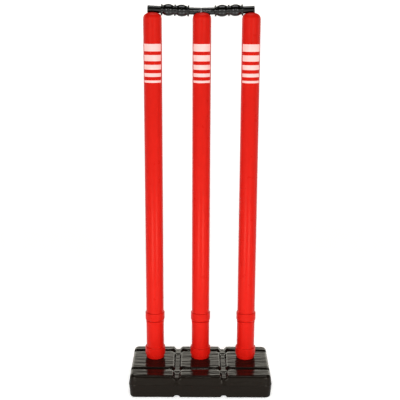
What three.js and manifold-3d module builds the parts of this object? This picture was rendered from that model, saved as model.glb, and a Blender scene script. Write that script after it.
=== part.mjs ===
// Cricket wicket: three plastic stumps and two bails standing in a weighted base.
// Millimetres, +Z up. The origin is under the middle of the base, whose front faces -Y.
import * as THREE from 'three';
import { mergeVertices } from 'three/addons/utils/BufferGeometryUtils.js';
import Module from 'manifold-3d';

const wasm = await Module();
wasm.setup();

// Wicket
const stumpPitch = 95;
const stumpHeight = 711;
const stumpDiameter = 36.2;
const stumpSetback = 21.4;

// Base body
const baseEndMargin = 49.5;
const baseDepth = 156;
const baseHeight = 48;
const baseWall = 2.8;
const partingHeight = 28;
const baseCornerRadius = 13;
const topDraft = 3;
const bottomDraft = 2.5;
const topRound = 6;
const bottomRound = 5.5;

// Grooves moulded into the base: across it between the stumps, and along it front and back
const crossGroove = { floor: 7, depth: 6, wallAngle: 50, lip: 3, toe: 1.5 };
const underGroove = { floor: 7, depth: 4, wallAngle: 50, lip: 3, toe: 1.5 };
const longChannel = { floor: 4.4, depth: 5, wallAngle: 60, lip: 2, toe: 1 };
const backChannelInset = 27.8;
const frontChannelInset = 39.6;

// Sockets and filler in the base
const socketFloor = 6;
const socketClearance = 0.4;
const socketLip = 1.6;
const fillerHeight = 26;
const fillerRecessRadius = 17;
const fillerRecessDepth = 3.2;
const fillerHoleRadius = 11;
const fillerBoss = 3;

// Filler plug
const plugFlange = 2.6;
const plugShank = 11;
const plugRound = 0.8;
const plugDishRadius = 8.2;
const plugDishDepth = 7;
const plugGrip = 3;

// Ballast
const ballastLevel = 25;

// Stump foot, measured from the top of the base
const neckDiameter = 35;
const neckRound = 2;
const neckWall = 2.6;
const bandDiameter = 39;
const bandRound = 1.2;
const collarDiameter = 42;
const collarBottom = 8;
const collarLength = 16;
const collarRound = 2.6;
const sleeveDiameter = 36.6;
const rimDiameter = 37.6;
const rimLength = 4.6;
const rimRound = 1.4;
const footTop = 82.8;
const footWeb = 3;
const footCorner = 0.8;

// Stump tube
const tubeWall = 2;
const ringDiameter = 40.2;
const ringLength = 17.8;
const ringRound = 3.2;
const spigotLength = 42;
const spigotDiameter = 31;
const shoulderRadius = 11.5;
const bailGrooveDepth = 6;
const bailGrooveRadius = 7.6;

// Bail, from the tip of its long spigot
const longSpigot = 25.5;
const shortSpigot = 22;
const spigotTipDiameter = 14.2;
const spigotRootDiameter = 13.8;
const tipRound = 0.9;
const flangeDiameter = 21.8;
const flangeWidth = 3.3;
const flangeRound = 1.4;
const beadDiameter = 22.8;
const ringBandDiameter = 22.2;
const ringBandWidth = 3.4;
const valleyDiameter = 18.4;
const valleyWidth = 1.3;
const bailOverlap = 1.8;
const bailTipGap = 0.8;

// Fits and cutting
const seatGap = 0.3;
const cutOverrun = 4;

// Facets
const arcFacet = 2.2;
const footSides = 24;
const tubeSides = 28;
const bailSides = 20;
const wellSides = 24;
const planCornerSteps = 5;
const beadSteps = 5;
const seatSamples = 24;
const seatStep = 0.8;
const restPasses = 4;

// Shares
const cornerReachShare = 0.49;

// Derived places
const baseLength = 2 * (stumpPitch + baseEndMargin);
const stumpRadius = stumpDiameter / 2;
const neckRadius = neckDiameter / 2;
const socketRadius = neckRadius + socketClearance;
const socketDepth = baseHeight - socketFloor;
const backFace = baseDepth / 2;
const fillerFloor = backFace - fillerRecessDepth;
const barrelReach = stumpPitch - stumpRadius + bailOverlap;
const barrelLength = barrelReach - (longSpigot + shortSpigot + bailTipGap) / 2;

// A path through [across, up, radius] corners, with an arc at each corner that has a radius
function roundedPath(corners) {
  const path = [];
  corners.forEach(([across, up, radius = 0], index) => {
    const corner = new THREE.Vector2(across, up);
    const before = corners[index - 1];
    const after = corners[index + 1];
    if (!radius || !before || !after) {
      path.push(corner);
      return;
    }
    const back = new THREE.Vector2(before[0], before[1]).sub(corner);
    const ahead = new THREE.Vector2(after[0], after[1]).sub(corner);
    const backRoom = back.length() * (before[2] ? cornerReachShare : 1);
    const aheadRoom = ahead.length() * (after[2] ? cornerReachShare : 1);
    const room = Math.min(backRoom, aheadRoom);
    back.normalize();
    ahead.normalize();
    const half = Math.acos(THREE.MathUtils.clamp(back.dot(ahead), -1, 1)) / 2;
    const reach = Math.min(radius / Math.tan(half), room);
    const bend = reach * Math.tan(half);
    const middle = back.clone().add(ahead).normalize();
    const centre = corner.clone().addScaledVector(middle, bend / Math.sin(half));
    const start = corner.clone().addScaledVector(back, reach).sub(centre);
    const end = corner.clone().addScaledVector(ahead, reach).sub(centre);
    const sweep = Math.atan2(start.cross(end), start.dot(end));
    const steps = Math.max(Math.round(Math.abs(sweep) * bend / arcFacet), 1);
    for (let step = 0; step <= steps; step += 1) {
      const turned = start.clone().rotateAround(new THREE.Vector2(), sweep * step / steps);
      path.push(turned.add(centre));
    }
  });
  return path;
}

// One closed mesh with shared vertices, no collapsed triangles and its faces pointing out
function closedGeometry(source) {
  const bare = source.clone();
  Object.keys(bare.attributes)
    .filter((name) => name !== 'position')
    .forEach((name) => bare.deleteAttribute(name));
  const merged = mergeVertices(bare);
  const place = merged.getAttribute('position');
  const corners = [0, 1, 2].map(() => new THREE.Vector3());
  const kept = [];
  let volume = 0;
  for (let at = 0; at < merged.index.count; at += 3) {
    const ids = [0, 1, 2].map((offset) => merged.index.getX(at + offset));
    if (new Set(ids).size === ids.length) {
      ids.forEach((id, index) => corners[index].fromBufferAttribute(place, id));
      volume += corners[0].dot(corners[1].clone().cross(corners[2]));
      kept.push(ids);
    }
  }
  const facing = volume < 0 ? kept.map(([a, b, c]) => [a, c, b]) : kept;
  merged.setIndex(facing.flat());
  return merged;
}

function toSolid(geometry) {
  const closed = closedGeometry(geometry);
  return new wasm.Manifold(new wasm.Mesh({
    numProp: 3,
    vertProperties: new Float32Array(closed.getAttribute('position').array),
    triVerts: new Uint32Array(closed.index.array),
  }));
}

function toGeometry(solid) {
  const mesh = solid.getMesh();
  const geometry = new THREE.BufferGeometry();
  geometry.setAttribute('position', new THREE.BufferAttribute(new Float32Array(mesh.vertProperties), 3));
  geometry.setIndex(new THREE.BufferAttribute(new Uint32Array(mesh.triVerts), 1));
  return geometry;
}

function cut(solid, cutters) {
  return cutters.reduce((left, cutter) => left.subtract(cutter), solid);
}

// A revolve about the Z axis from a path of (radius, height) points
function revolved(path, sides) {
  return new THREE.LatheGeometry(path, sides).rotateX(Math.PI / 2);
}

// A cylinder along Z between two heights
function post(radius, bottom, top) {
  return new THREE.CylinderGeometry(radius, radius, top - bottom, wellSides)
    .rotateX(Math.PI / 2)
    .translate(0, 0, (bottom + top) / 2);
}

// A cylinder along Y between two depths
function barAlongY(radius, front, back) {
  return new THREE.CylinderGeometry(radius, radius, back - front, wellSides)
    .translate(0, (front + back) / 2, 0);
}

// Plan outline of the base, drawn in by an inset on every side
function planOutline(inset) {
  const halfLength = baseLength / 2 - inset;
  const halfDepth = baseDepth / 2 - inset;
  const radius = Math.max(baseCornerRadius - inset, baseWall);
  const quarters = [[1, 1], [-1, 1], [-1, -1], [1, -1]];
  return quarters.flatMap(([sideX, sideY], quarter) => {
    const centreX = sideX * (halfLength - radius);
    const centreY = sideY * (halfDepth - radius);
    return Array.from({ length: planCornerSteps + 1 }, (_, step) => {
      const angle = (quarter + step / planCornerSteps) * Math.PI / 2;
      return [centreX + radius * Math.cos(angle), centreY + radius * Math.sin(angle)];
    });
  });
}

// A body with the base's drafted sides, from a path of (inset, height) points
function draftedBody(path) {
  const rings = path.map((point) => planOutline(point.x).map(([x, y]) => [x, y, point.y]));
  const ringSize = rings[0].length;
  const places = rings.flat();
  const faces = [];
  for (let ring = 0; ring < rings.length - 1; ring += 1) {
    for (let step = 0; step < ringSize; step += 1) {
      const next = (step + 1) % ringSize;
      const lower = ring * ringSize;
      const upper = lower + ringSize;
      faces.push([lower + step, lower + next, upper + next]);
      faces.push([lower + step, upper + next, upper + step]);
    }
  }
  const lastRing = (rings.length - 1) * ringSize;
  for (let step = 1; step < ringSize - 1; step += 1) {
    faces.push([0, step + 1, step]);
    faces.push([lastRing, lastRing + step, lastRing + step + 1]);
  }
  const geometry = new THREE.BufferGeometry();
  geometry.setAttribute('position', new THREE.Float32BufferAttribute(places.flat(), 3));
  geometry.setIndex(faces.flat());
  return geometry;
}

// The base's side profile, drawn in by a skin thickness, between two heights
function sideProfile(skin, top = baseHeight - skin) {
  const upperRound = Math.max(topRound - skin, seatGap);
  const lowerRound = Math.max(bottomRound - skin, seatGap);
  const lean = topDraft * (top - partingHeight) / (baseHeight - partingHeight);
  const full = top >= baseHeight - skin;
  return roundedPath([
    [bottomDraft + skin + 2 * bottomRound, skin],
    [bottomDraft + skin, skin, lowerRound],
    [skin, partingHeight],
    [lean + skin, top, full ? upperRound : 0],
    [lean + skin + 2 * topRound, top],
  ]);
}

// Right half of a groove's section, from the middle of its floor out to the flat surface
function grooveHalf({ floor, depth, wallAngle, lip, toe }) {
  const angle = THREE.MathUtils.degToRad(wallAngle);
  const wallFoot = floor / 2;
  const wallHead = wallFoot + depth / Math.tan(angle);
  const lipReach = lip * Math.tan(angle / 2);
  return roundedPath([
    [0, -depth],
    [wallFoot, -depth, toe],
    [wallHead, 0, lip],
    [wallHead + 2 * lipReach, 0],
  ]);
}

// Right half of the room that a groove and the wall behind it take up inside the base
function grooveBackHalf({ floor, depth, wallAngle }, skin) {
  const angle = THREE.MathUtils.degToRad(wallAngle);
  const spread = skin * Math.tan(angle / 2);
  const wallFoot = floor / 2 + spread;
  const backDepth = depth + skin;
  return [
    new THREE.Vector2(0, -backDepth),
    new THREE.Vector2(wallFoot, -backDepth),
    new THREE.Vector2(wallFoot + backDepth / Math.tan(angle), 0),
  ];
}

// A cutter with a groove's section, run along Y, whose surface lies at height zero
function grooveCutter(half, length) {
  const last = half[half.length - 1];
  const mirrored = half.slice(1).reverse().map((point) => new THREE.Vector2(-point.x, point.y));
  const outline = [
    new THREE.Vector2(-last.x, cutOverrun),
    ...mirrored,
    ...half,
    new THREE.Vector2(last.x, cutOverrun),
  ];
  return new THREE.ExtrudeGeometry(new THREE.Shape(outline), { depth: length, bevelEnabled: false })
    .translate(0, 0, -length / 2)
    .rotateX(Math.PI / 2);
}

// Every groove of the base, either its open section or the room behind its wall
function baseGrooves(sectionOf) {
  const across = baseDepth + 2 * cutOverrun;
  const along = baseLength + 2 * cutOverrun;
  const cutter = (groove, length) => grooveCutter(sectionOf(groove), length);
  const grooves = [-stumpPitch / 2, stumpPitch / 2].flatMap((x) => [
    cutter(crossGroove, across).translate(x, 0, baseHeight),
    cutter(underGroove, across).rotateY(Math.PI).translate(x, 0, 0),
  ]);
  const channels = [backFace - backChannelInset, frontChannelInset - backFace].map((y) =>
    cutter(longChannel, along).rotateZ(Math.PI / 2).translate(0, y, baseHeight));
  return [...grooves, ...channels].map(toSolid);
}

const stumpPlaces = { left: -stumpPitch, middle: 0, right: stumpPitch };

// Hollow moulded base: drafted shell, grooves, three closed sockets and a filler recess
function baseShellSolid() {
  const outer = cut(toSolid(draftedBody(sideProfile(0))), baseGrooves(grooveHalf));
  const hollow = cut(toSolid(draftedBody(sideProfile(baseWall))), [
    ...baseGrooves((groove) => grooveBackHalf(groove, baseWall)),
    ...socketPosts(baseWall),
    ...fillerBosses(0),
  ]);
  const socket = roundedPath([
    [0, socketFloor],
    [socketRadius, socketFloor],
    [socketRadius, baseHeight, socketLip],
    [socketRadius + 2 * socketLip, baseHeight],
    [socketRadius + 2 * socketLip, baseHeight + cutOverrun],
    [0, baseHeight + cutOverrun],
  ]);
  const sockets = Object.values(stumpPlaces).map((x) =>
    toSolid(revolved(socket, wellSides).translate(x, stumpSetback, 0)));
  const recess = barAlongY(fillerRecessRadius, fillerFloor, backFace + cutOverrun);
  const hole = barAlongY(fillerHoleRadius, backFace - plugShank - cutOverrun, backFace);
  return cut(outer, [
    hollow,
    ...sockets,
    toSolid(recess.translate(0, 0, fillerHeight)),
    toSolid(hole.translate(0, 0, fillerHeight)),
  ]);
}

// What the sockets take out of the hollow, grown by a skin thickness
function socketPosts(skin) {
  return Object.values(stumpPlaces).map((x) =>
    toSolid(post(socketRadius + skin, -cutOverrun, baseHeight + cutOverrun).translate(x, stumpSetback, 0)));
}

// What the filler's boss takes out of the hollow, grown by a gap
function fillerBosses(gap) {
  const front = fillerFloor - fillerBoss - gap;
  const boss = barAlongY(fillerRecessRadius + baseWall + gap, front, backFace + cutOverrun);
  return [toSolid(boss.translate(0, 0, fillerHeight))];
}

// Dry sand that half fills the base and stays clear of its walls
function ballastSolid() {
  const skin = baseWall + seatGap;
  const fill = toSolid(draftedBody(sideProfile(skin, ballastLevel)));
  const shank = barAlongY(
    fillerHoleRadius + seatGap,
    fillerFloor - plugShank - seatGap,
    backFace + cutOverrun,
  );
  return cut(fill, [
    ...baseGrooves((groove) => grooveBackHalf(groove, skin)),
    ...socketPosts(skin),
    ...fillerBosses(seatGap),
    toSolid(shank.translate(0, 0, fillerHeight)),
  ]);
}

// Push-in plug: a flange in the recess, a shank in the hole and a grip bar across its dish
function fillerPlugSolid() {
  const flangeRadius = fillerRecessRadius - seatGap;
  const shankRadius = fillerHoleRadius - seatGap;
  const body = revolved(roundedPath([
    [0, -plugShank],
    [shankRadius, -plugShank, plugRound],
    [shankRadius, seatGap],
    [flangeRadius, seatGap, plugRound],
    [flangeRadius, seatGap + plugFlange, plugRound],
    [plugDishRadius, seatGap + plugFlange, plugRound],
    [plugDishRadius, seatGap + plugFlange - plugDishDepth, plugRound],
    [0, seatGap + plugFlange - plugDishDepth],
  ]), wellSides);
  const grip = new THREE.BoxGeometry(2 * plugDishRadius + plugGrip, plugGrip, plugDishDepth)
    .translate(0, 0, plugFlange - plugDishDepth / 2);
  return toSolid(body).add(toSolid(grip));
}

// Foot of a stump: neck for the socket, band over its mouth, collar, sleeve and the tube's rim
function footGeometry() {
  const collarTop = collarBottom + collarLength;
  const bore = spigotDiameter / 2 + seatGap;
  const webTop = footTop - spigotLength - seatGap;
  const lowerBore = neckRadius - neckWall;
  const neckEnd = seatGap - socketDepth;
  return revolved(roundedPath([
    [0, webTop - footWeb],
    [lowerBore, webTop - footWeb],
    [lowerBore, neckEnd],
    [neckRadius, neckEnd, neckRound],
    [neckRadius, seatGap],
    [bandDiameter / 2, seatGap, bandRound],
    [bandDiameter / 2, collarBottom, footCorner],
    [collarDiameter / 2, collarBottom, collarRound],
    [collarDiameter / 2, collarTop, collarRound],
    [sleeveDiameter / 2, collarTop, footCorner],
    [sleeveDiameter / 2, footTop - rimLength],
    [rimDiameter / 2, footTop - rimLength, rimRound],
    [rimDiameter / 2, footTop, rimRound],
    [bore, footTop],
    [bore, webTop],
    [0, webTop],
  ]), footSides);
}

// Tube of a stump: domed top with the bail groove, ring over the foot and a spigot inside it
function tubeSolid() {
  const ringBottom = footTop + seatGap;
  const ringTop = ringBottom + ringLength;
  const spigotRadius = spigotDiameter / 2;
  const spigotEnd = footTop - spigotLength;
  const crown = stumpHeight - bailGrooveDepth - tubeWall;
  const innerRadius = stumpRadius - tubeWall;
  const body = toSolid(revolved(roundedPath([
    [0, stumpHeight],
    [stumpRadius, stumpHeight, shoulderRadius],
    [stumpRadius, ringTop, footCorner],
    [ringDiameter / 2, ringTop, ringRound],
    [ringDiameter / 2, ringBottom, ringRound],
    [spigotRadius, ringBottom],
    [spigotRadius, spigotEnd, footCorner],
    [spigotRadius - tubeWall, spigotEnd],
    [spigotRadius - tubeWall, ringTop - tubeWall],
    [innerRadius, ringTop + tubeWall],
    [innerRadius, crown, tubeWall],
    [0, crown],
  ]), tubeSides));
  const groove = new THREE.CylinderGeometry(
    bailGrooveRadius, bailGrooveRadius, stumpDiameter + 2 * cutOverrun, bailSides,
  );
  groove.rotateZ(Math.PI / 2).translate(0, 0, stumpHeight - bailGrooveDepth + bailGrooveRadius);
  return body.subtract(toSolid(groove));
}

// An arc that swells from a valley to a crown and back, as (radius, length along) points
function beadArc(from, to, valleyRadius, crownRadius) {
  const half = (to - from) / 2;
  const rise = crownRadius - valleyRadius;
  const arcRadius = (half * half + rise * rise) / (2 * rise);
  return Array.from({ length: beadSteps + 1 }, (_, step) => {
    const off = half * (2 * step / beadSteps - 1);
    const drop = arcRadius - Math.sqrt(arcRadius * arcRadius - off * off);
    return new THREE.Vector2(crownRadius - drop, from + half + off);
  });
}

// Outline of a turned bail as (radius, length along) points, from its long spigot's tip
function bailOutline() {
  const tip = spigotTipDiameter / 2;
  const root = spigotRootDiameter / 2;
  const flange = flangeDiameter / 2;
  const ring = ringBandDiameter / 2;
  const valley = valleyDiameter / 2;
  const barrelEnd = longSpigot + barrelLength;
  const bailLength = barrelEnd + shortSpigot;
  const middle = longSpigot + barrelLength / 2;
  const firstBead = [longSpigot + flangeWidth + valleyWidth, middle - ringBandWidth / 2 - valleyWidth];
  const secondBead = [middle + ringBandWidth / 2 + valleyWidth, barrelEnd - flangeWidth - valleyWidth];
  return [
    ...roundedPath([
      [0, 0],
      [tip, 0, tipRound],
      [root, longSpigot],
      [flange, longSpigot, flangeRound],
      [flange, longSpigot + flangeWidth, flangeRound],
      [valley, longSpigot + flangeWidth],
    ]),
    ...beadArc(firstBead[0], firstBead[1], valley, beadDiameter / 2),
    ...roundedPath([
      [valley, middle - ringBandWidth / 2],
      [ring, middle - ringBandWidth / 2, flangeRound],
      [ring, middle + ringBandWidth / 2, flangeRound],
      [valley, middle + ringBandWidth / 2],
    ]),
    ...beadArc(secondBead[0], secondBead[1], valley, beadDiameter / 2),
    ...roundedPath([
      [valley, barrelEnd - flangeWidth],
      [flange, barrelEnd - flangeWidth, flangeRound],
      [flange, barrelEnd, flangeRound],
      [root, barrelEnd],
      [tip, bailLength, tipRound],
      [0, bailLength],
    ]),
  ];
}

// Height of a stump's top at a place measured from its axis, with the bail groove let in
function stumpTopHeight(x, y) {
  const off = Math.hypot(x, y);
  if (off > stumpRadius) {
    return -Infinity;
  }
  const past = Math.max(off - (stumpRadius - shoulderRadius), 0);
  const shoulder = stumpHeight - shoulderRadius + Math.sqrt(shoulderRadius ** 2 - past ** 2);
  const grooveCentre = stumpHeight - bailGrooveDepth + bailGrooveRadius;
  const inGroove = Math.abs(y) < bailGrooveRadius;
  const groove = inGroove ? grooveCentre - Math.sqrt(bailGrooveRadius ** 2 - y ** 2) : Infinity;
  return Math.min(shoulder, groove);
}

// Lowest height that the centre of a disc may have over the stumps, with the seat gap under it
function discSeat(x, radius) {
  let seat = -Infinity;
  Object.values(stumpPlaces).forEach((place) => {
    for (let step = 0; step <= seatSamples; step += 1) {
      const angle = (step / seatSamples) * Math.PI / 2;
      const top = stumpTopHeight(x - place, radius * Math.sin(angle));
      seat = Math.max(seat, top + radius * Math.cos(angle) + seatGap);
    }
  });
  return seat;
}

// An outline with more points on its straight runs, so that none is more than a step from the next
function closeOutline(outline) {
  return outline.flatMap((point, index) => {
    const next = outline[index + 1] ?? point;
    const parts = Math.max(Math.ceil(point.distanceTo(next) / seatStep), 1);
    return Array.from({ length: parts }, (_, part) => point.clone().lerp(next, part / parts));
  });
}

// How a bail lies on its two stumps: the lean and height that its weight gives it
function bailRest(outline, tipPlace) {
  const bailLength = longSpigot + barrelLength + shortSpigot;
  const balance = tipPlace + bailLength / 2;
  const stations = closeOutline(outline);
  let slope = 0;
  let height = 0;
  for (let pass = 0; pass < restPasses; pass += 1) {
    const seats = [];
    stations.forEach(({ x: radius, y: along }) => {
      const seat = discSeat(tipPlace + along + radius * slope, radius);
      if (radius > 0 && Number.isFinite(seat)) {
        seats.push([tipPlace + along, seat]);
      }
    });
    const left = seats.filter(([x]) => x < balance);
    const right = seats.filter(([x]) => x > balance);
    let best = -Infinity;
    left.forEach(([leftX, leftSeat]) => {
      right.forEach(([rightX, rightSeat]) => {
        const rise = (rightSeat - leftSeat) / (rightX - leftX);
        const atBalance = leftSeat + rise * (balance - leftX);
        if (atBalance > best) {
          best = atBalance;
          slope = rise;
          height = leftSeat + rise * (tipPlace - leftX);
        }
      });
    });
  }
  return { slope, height };
}

function material(color, roughness) {
  return new THREE.MeshStandardMaterial({ color, roughness, metalness: 0 });
}

const redPlastic = material(0xe8251c, 0.32);
const deepRedPlastic = material(0xdc1f18, 0.36);
const blackPlastic = material(0x141414, 0.22);
const plugPlastic = material(0x1c1c1c, 0.5);
const bailPlastic = material(0x101010, 0.2);
const drySand = material(0xb99a6b, 1);

function piece(name, geometry, finish) {
  const mesh = new THREE.Mesh(geometry, finish);
  mesh.name = name;
  return mesh;
}

const wicket = new THREE.Group();
wicket.add(piece('base_shell', toGeometry(baseShellSolid()), blackPlastic));
wicket.add(piece('ballast_sand', toGeometry(ballastSolid()), drySand));

const plug = piece('filler_plug', toGeometry(fillerPlugSolid()), plugPlastic);
plug.rotation.x = -Math.PI / 2;
plug.position.set(0, fillerFloor, fillerHeight);
wicket.add(plug);

Object.entries(stumpPlaces).forEach(([side, x]) => {
  const stump = new THREE.Group();
  stump.position.set(x, stumpSetback, baseHeight);
  stump.add(piece(`stump_foot_${side}`, closedGeometry(footGeometry()), deepRedPlastic));
  stump.add(piece(`stump_tube_${side}`, toGeometry(tubeSolid()), redPlastic));
  wicket.add(stump);
});

// Both bails lie the same way round, with the barrel's outer flange over the outer stump
const outline = bailOutline();
const bailTips = { left: -barrelReach - longSpigot, right: barrelReach - barrelLength - longSpigot };
Object.entries(bailTips).forEach(([side, tipPlace]) => {
  const { slope, height } = bailRest(outline, tipPlace);
  const geometry = closedGeometry(revolved(outline, bailSides)).rotateY(Math.PI / 2);
  const bail = piece(`bail_${side}`, geometry, bailPlastic);
  bail.rotation.y = -Math.atan(slope);
  bail.position.set(tipPlace, stumpSetback, baseHeight + height);
  wicket.add(bail);
});

export default wicket;
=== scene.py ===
"""Cricket stumps: three red plastic stumps and two black bails in a weighted black base.

The frame gives where each piece stands. The sizes of turnings and mouldings are in the
property groups, in millimetres in this text and in metres in Blender. +Z is up, and the
front of the base faces -Y.
"""

import math

import bmesh
import bpy
import numpy as np
from bpy.props import FloatProperty, FloatVectorProperty, IntProperty, PointerProperty
from mathutils import Matrix, Vector, noise


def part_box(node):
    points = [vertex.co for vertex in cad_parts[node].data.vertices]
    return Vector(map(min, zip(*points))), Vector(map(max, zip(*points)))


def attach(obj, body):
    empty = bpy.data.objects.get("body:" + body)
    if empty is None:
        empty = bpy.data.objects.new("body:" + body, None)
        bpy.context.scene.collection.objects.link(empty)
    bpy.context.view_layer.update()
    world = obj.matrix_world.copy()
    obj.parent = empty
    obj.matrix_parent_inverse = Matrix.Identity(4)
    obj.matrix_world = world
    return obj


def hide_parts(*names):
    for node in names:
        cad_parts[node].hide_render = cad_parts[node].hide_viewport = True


bl_info = {
    "name": "Cricket stumps",
    "version": (1, 0, 0),
    "blender": (4, 5, 0),
    "location": "View3D > Sidebar > Stumps",
    "description": "Builds free-standing cricket stumps with bails and a weighted base",
    "category": "Add Mesh",
}

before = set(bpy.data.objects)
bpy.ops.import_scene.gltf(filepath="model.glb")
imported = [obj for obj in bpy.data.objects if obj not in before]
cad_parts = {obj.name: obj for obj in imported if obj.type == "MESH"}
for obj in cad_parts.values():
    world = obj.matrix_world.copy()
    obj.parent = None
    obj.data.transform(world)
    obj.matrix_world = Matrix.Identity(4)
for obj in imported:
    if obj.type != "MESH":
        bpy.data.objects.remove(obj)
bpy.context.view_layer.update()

SIDES = ("left", "middle", "right")
OUTER_SIDES = ("left", "right")
MILLIMETRES = 0.001
# Points closer together than this are one point
TINY = 1e-7
# How far a cutting body reaches past what it cuts
OVERRUN = 0.002


def mm(value):
    """Metres from millimetres."""
    return value * MILLIMETRES


def linear(hex_code):
    """Linear red, green and blue from an sRGB hex value."""
    shares = [int(hex_code[at : at + 2], 16) / 255 for at in (1, 3, 5)]
    return tuple(c / 12.92 if c <= 0.04045 else ((c + 0.055) / 1.055) ** 2.4 for c in shares)


def length(millimetres, description):
    """A size that a user can change."""
    value = mm(millimetres)
    return FloatProperty(description=description, default=value, min=0.0, unit="LENGTH", precision=5)


def angle(degrees, description):
    """An angle that a user can change."""
    return FloatProperty(description=description, default=math.radians(degrees), unit="ROTATION")


def amount(value, description, **kind):
    """A number of some other kind that a user can change."""
    return FloatProperty(description=description, default=value, min=0.0, **kind)


def count(value, least, description):
    """A whole number that a user can change."""
    return IntProperty(description=description, default=value, min=least)


def colour(hex_code, description):
    """A colour that a user can change."""
    value = linear(hex_code)
    return FloatVectorProperty(description=description, default=value, min=0.0, max=1.0, subtype="COLOR")


def labelled(group):
    """Labels each setting of a group with its own name, in plain words."""
    for name, setting in group.__annotations__.items():
        setting.keywords["name"] = name.replace("_", " ").capitalize()
    return group


# Places and sizes that the frame gives
BASE_LOW, BASE_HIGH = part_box("base_shell")
BASE_HALF_LENGTH = (BASE_HIGH.x - BASE_LOW.x) / 2
BASE_HALF_DEPTH = (BASE_HIGH.y - BASE_LOW.y) / 2
BASE_TOP = BASE_HIGH.z
TUBE_BOXES = {side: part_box(f"stump_tube_{side}") for side in SIDES}
AXES = {side: ((low.x + high.x) / 2, (low.y + high.y) / 2) for side, (low, high) in TUBE_BOXES.items()}
STUMP_TOP = TUBE_BOXES["middle"][1].z - BASE_TOP
RING_RADIUS = (TUBE_BOXES["middle"][1].x - TUBE_BOXES["middle"][0].x) / 2
SPIGOT_END = TUBE_BOXES["middle"][0].z - BASE_TOP
FOOT_LOW, FOOT_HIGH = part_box("stump_foot_middle")
COLLAR_RADIUS = (FOOT_HIGH.x - FOOT_LOW.x) / 2
NECK_END = FOOT_LOW.z - BASE_TOP
FOOT_TOP = FOOT_HIGH.z - BASE_TOP
PLUG_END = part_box("filler_plug")[0].y


@labelled
class BaseSettings(bpy.types.PropertyGroup):
    """Sizes and colour of the moulded base"""

    colour: colour("#130f0c", "Warm black of the moulded base")
    wall: length(2.8, "Thickness of the moulding's wall")
    parting_height: length(28, "Height of the line where the mould's halves meet")
    parting_bead: length(0.12, "How far the parting line stands proud")
    parting_width: length(1.6, "Width of the parting line")
    corner_radius: length(13, "Radius of the plan's corners")
    top_draft: length(3, "How far the sides lean in above the parting line")
    bottom_draft: length(2.5, "How far the sides lean in below the parting line")
    top_round: length(6, "Radius of the upper edge")
    bottom_round: length(5.5, "Radius of the lower edge")
    groove_floor: length(7, "Width of a cross groove's floor")
    groove_depth: length(6, "Depth of a cross groove on top")
    under_depth: length(4, "Depth of a cross groove underneath")
    groove_lip: length(3, "Rounding of a cross groove's edges")
    channel_floor: length(4.4, "Width of a long channel's floor")
    channel_depth: length(5, "Depth of a long channel")
    channel_lip: length(2, "Rounding of a long channel's edges")
    back_inset: length(27.8, "From the back face to the back channel")
    front_inset: length(39.6, "From the front face to the front channel")
    panel_corner: length(5, "Rounding of the raised panels where grooves cross")
    socket_radius: length(17.9, "Radius of a stump's socket")
    socket_floor: length(6, "Height of the bottom of a socket")
    socket_lip: length(1.6, "Rounding of a socket's edge")
    wave_height: length(0.16, "Unevenness of the moulded skin")
    wave_length: length(30, "Distance between the skin's waves")
    filler_height: length(26, "Height of the filler's centre")
    wall_step: length(2, "Tallest step between two rings of points round the sides")
    recess_radius: length(17, "Radius of the recess round the filler")
    recess_depth: length(3.2, "Depth of that recess")
    filler_radius: length(11, "Radius of the filler hole")
    filler_wall: length(3, "Thickness of the wall round the filler hole")


@labelled
class PlugSettings(bpy.types.PropertyGroup):
    """Sizes and colour of the filler plug"""

    colour: colour("#1b1b1b", "Black of the plug")
    clearance: length(0.3, "Room between the plug and the base")
    flange: length(2.6, "Thickness of the flange")
    shank: length(11, "Length of the shank in the hole")
    rounding: length(0.8, "Rounding of the plug's edges")
    dish_radius: length(8.2, "Radius of the dish that fingers reach into")
    dish_depth: length(7, "Depth of the dish")
    grip: length(3, "Thickness of the bar across the dish")


@labelled
class StumpSettings(bpy.types.PropertyGroup):
    """Sizes and colours of the stumps"""

    tube_colour: colour("#c0160e", "Red of the tubes")
    foot_colour: colour("#c4160e", "Red of the feet")
    print_colour: colour("#f3bdb8", "Pale pink of the printed bars")
    radius: length(18.1, "Radius of a stump")
    wall: length(2, "Wall of the tube")
    shoulder: length(11.5, "Rounding of the stump's top edge")
    groove_depth: length(6, "Depth of the groove that the bails lie in")
    groove_radius: length(7.6, "Radius of that groove")
    groove_lip: length(1.2, "Softening of that groove's edges")
    ring_length: length(17.8, "Length of the raised ring at the tube's end")
    ring_round: length(3.2, "Rounding of that ring")
    spigot_radius: length(15.5, "Radius of the tube's spigot")
    seat_gap: length(0.3, "Line between the tube and the foot")
    neck_radius: length(17.5, "Radius of the foot's neck")
    neck_wall: length(2.6, "Wall of the neck")
    neck_round: length(2, "Rounding of the neck's lower edge")
    band_radius: length(18.8, "Radius of the band over the socket's mouth, at the base")
    band_top: length(19.4, "Radius of that band under the collar")
    band_round: length(1.2, "Rounding of that band's lower edge")
    collar_bottom: length(8, "From the base to the collar")
    collar_length: length(16, "Length of the collar")
    collar_round: length(2.0, "Rounding of the collar")
    sleeve_radius: length(18.3, "Radius of the plain sleeve")
    rim_radius: length(18.8, "Radius of the rim under the tube")
    rim_length: length(4.6, "Length of that rim")
    rim_round: length(1.4, "Rounding of that rim")
    corner: length(0.8, "Rounding of inner corners")
    web: length(3, "Floor under the tube's spigot")
    segments: count(160, 16, "Flats round a stump")
    bar_count: count(5, 1, "Printed bars on a stump")
    bar_top: length(59.3, "From the stump's top to the first bar")
    bar_width: length(14, "Width of the first bar")
    bar_step: length(2.4, "How much narrower each bar is than the one above")
    bar_gap: length(7, "Distance between bars")
    bar_ink: length(0.12, "How far the ink stands proud")
    bar_sweep: angle(126, "How far the bars reach round")


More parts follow.
